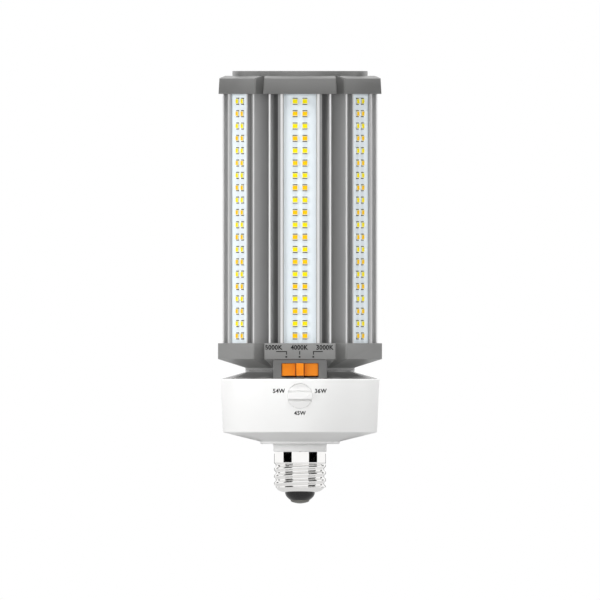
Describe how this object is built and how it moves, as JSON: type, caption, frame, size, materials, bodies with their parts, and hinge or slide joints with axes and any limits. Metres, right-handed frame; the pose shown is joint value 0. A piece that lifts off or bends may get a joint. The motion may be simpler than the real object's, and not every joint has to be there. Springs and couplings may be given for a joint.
{
  "type": "corn led bulb",
  "caption": "Corn LED lamp on a screw cap: lobed extruded heat sink with LED strips, grey end caps, white driver housing with a watt knob and a colour slider.",
  "frame": {"origin": "on the lamp's axis at the top rim of the screw shell, where the white neck begins", "axes": "+Z along the lamp's axis from the cap to the crown; -Y is the front with the switches; +X to the right as seen from the front"},
  "size_m": [0.0826, 0.0809, 0.218],
  "materials": {
    "plated_shell": "bright nickel plate",
    "cap_glass": "fire-polished black glass",
    "contact_tin": "tinned",
    "white_plastic": "semi-gloss",
    "grey_plastic": "fine satin",
    "sink_aluminium": "extruded, satin anodised",
    "board_white": "white solder mask",
    "led_cool": "silicone phosphor",
    "led_warm": "silicone phosphor",
    "orange_plastic": "satin",
    "zinc_screw": "zinc plated",
    "circuit_board": "solder mask",
    "ferrite": "sintered",
    "black_plastic": "moulded",
    "film_yellow": "dipped",
    "wire_insulation": "smooth",
    "switch_steel": "stamped"
  },
  "bodies": {
    "lamp": {"screw_shell": "plated_shell", "base_insulator": "cap_glass", "center_contact": "contact_tin", "driver_housing": "white_plastic", "housing_lid": "grey_plastic", "lower_collar": "grey_plastic", "heat_sink": "sink_aluminium", "crown_cap": "grey_plastic", "crown_screws": "zinc_screw", "collar_screws": "zinc_screw", "lid_screws": "zinc_screw", "board_screws": "zinc_screw", "link_board": "circuit_board", "led_leads": "wire_insulation", "driver_board": "circuit_board", "transformer": "ferrite", "filter_choke": "ferrite", "bulk_capacitors": "black_plastic", "bridge_rectifier": "black_plastic", "power_transistor": "black_plastic", "fuse_resistor": "film_yellow", "film_capacitor": "film_yellow", "line_wire": "wire_insulation", "neutral_wire": "wire_insulation", "rotary_switch": "black_plastic", "selector_board": "circuit_board", "switch_track": "orange_plastic", "slide_switch": "switch_steel", "switch_board": "circuit_board", "switch_leads": "wire_insulation", "led_board_1": "board_white", "cool_leds_1": "led_cool", "warm_leds_1": "led_warm", "led_board_2": "board_white", "cool_leds_2": "led_cool", "warm_leds_2": "led_warm", "led_board_3": "board_white", "cool_leds_3": "led_cool", "warm_leds_3": "led_warm", "led_board_4": "board_white", "cool_leds_4": "led_cool", "warm_leds_4": "led_warm", "led_board_5": "board_white", "cool_leds_5": "led_cool", "warm_leds_5": "led_warm", "led_board_6": "board_white", "cool_leds_6": "led_cool", "warm_leds_6": "led_warm"},
    "watt_knob": {"watt_knob": "white_plastic", "selector_shaft": "white_plastic"},
    "colour_slider": {"colour_slider": "orange_plastic", "switch_lever": "black_plastic"}
  },
  "joints": [
    {"name": "watt_select", "type": "hinge", "parent": "lamp", "child": "watt_knob", "pos_m": [0, -0.0395, 0.0281], "axis": [0, 1, 0], "range_deg": [0, 180]},
    {"name": "colour_select", "type": "slide", "parent": "lamp", "child": "colour_slider", "axis": [1, 0, 0], "range_m": [-0.0068, 0.0068]}
  ]
}
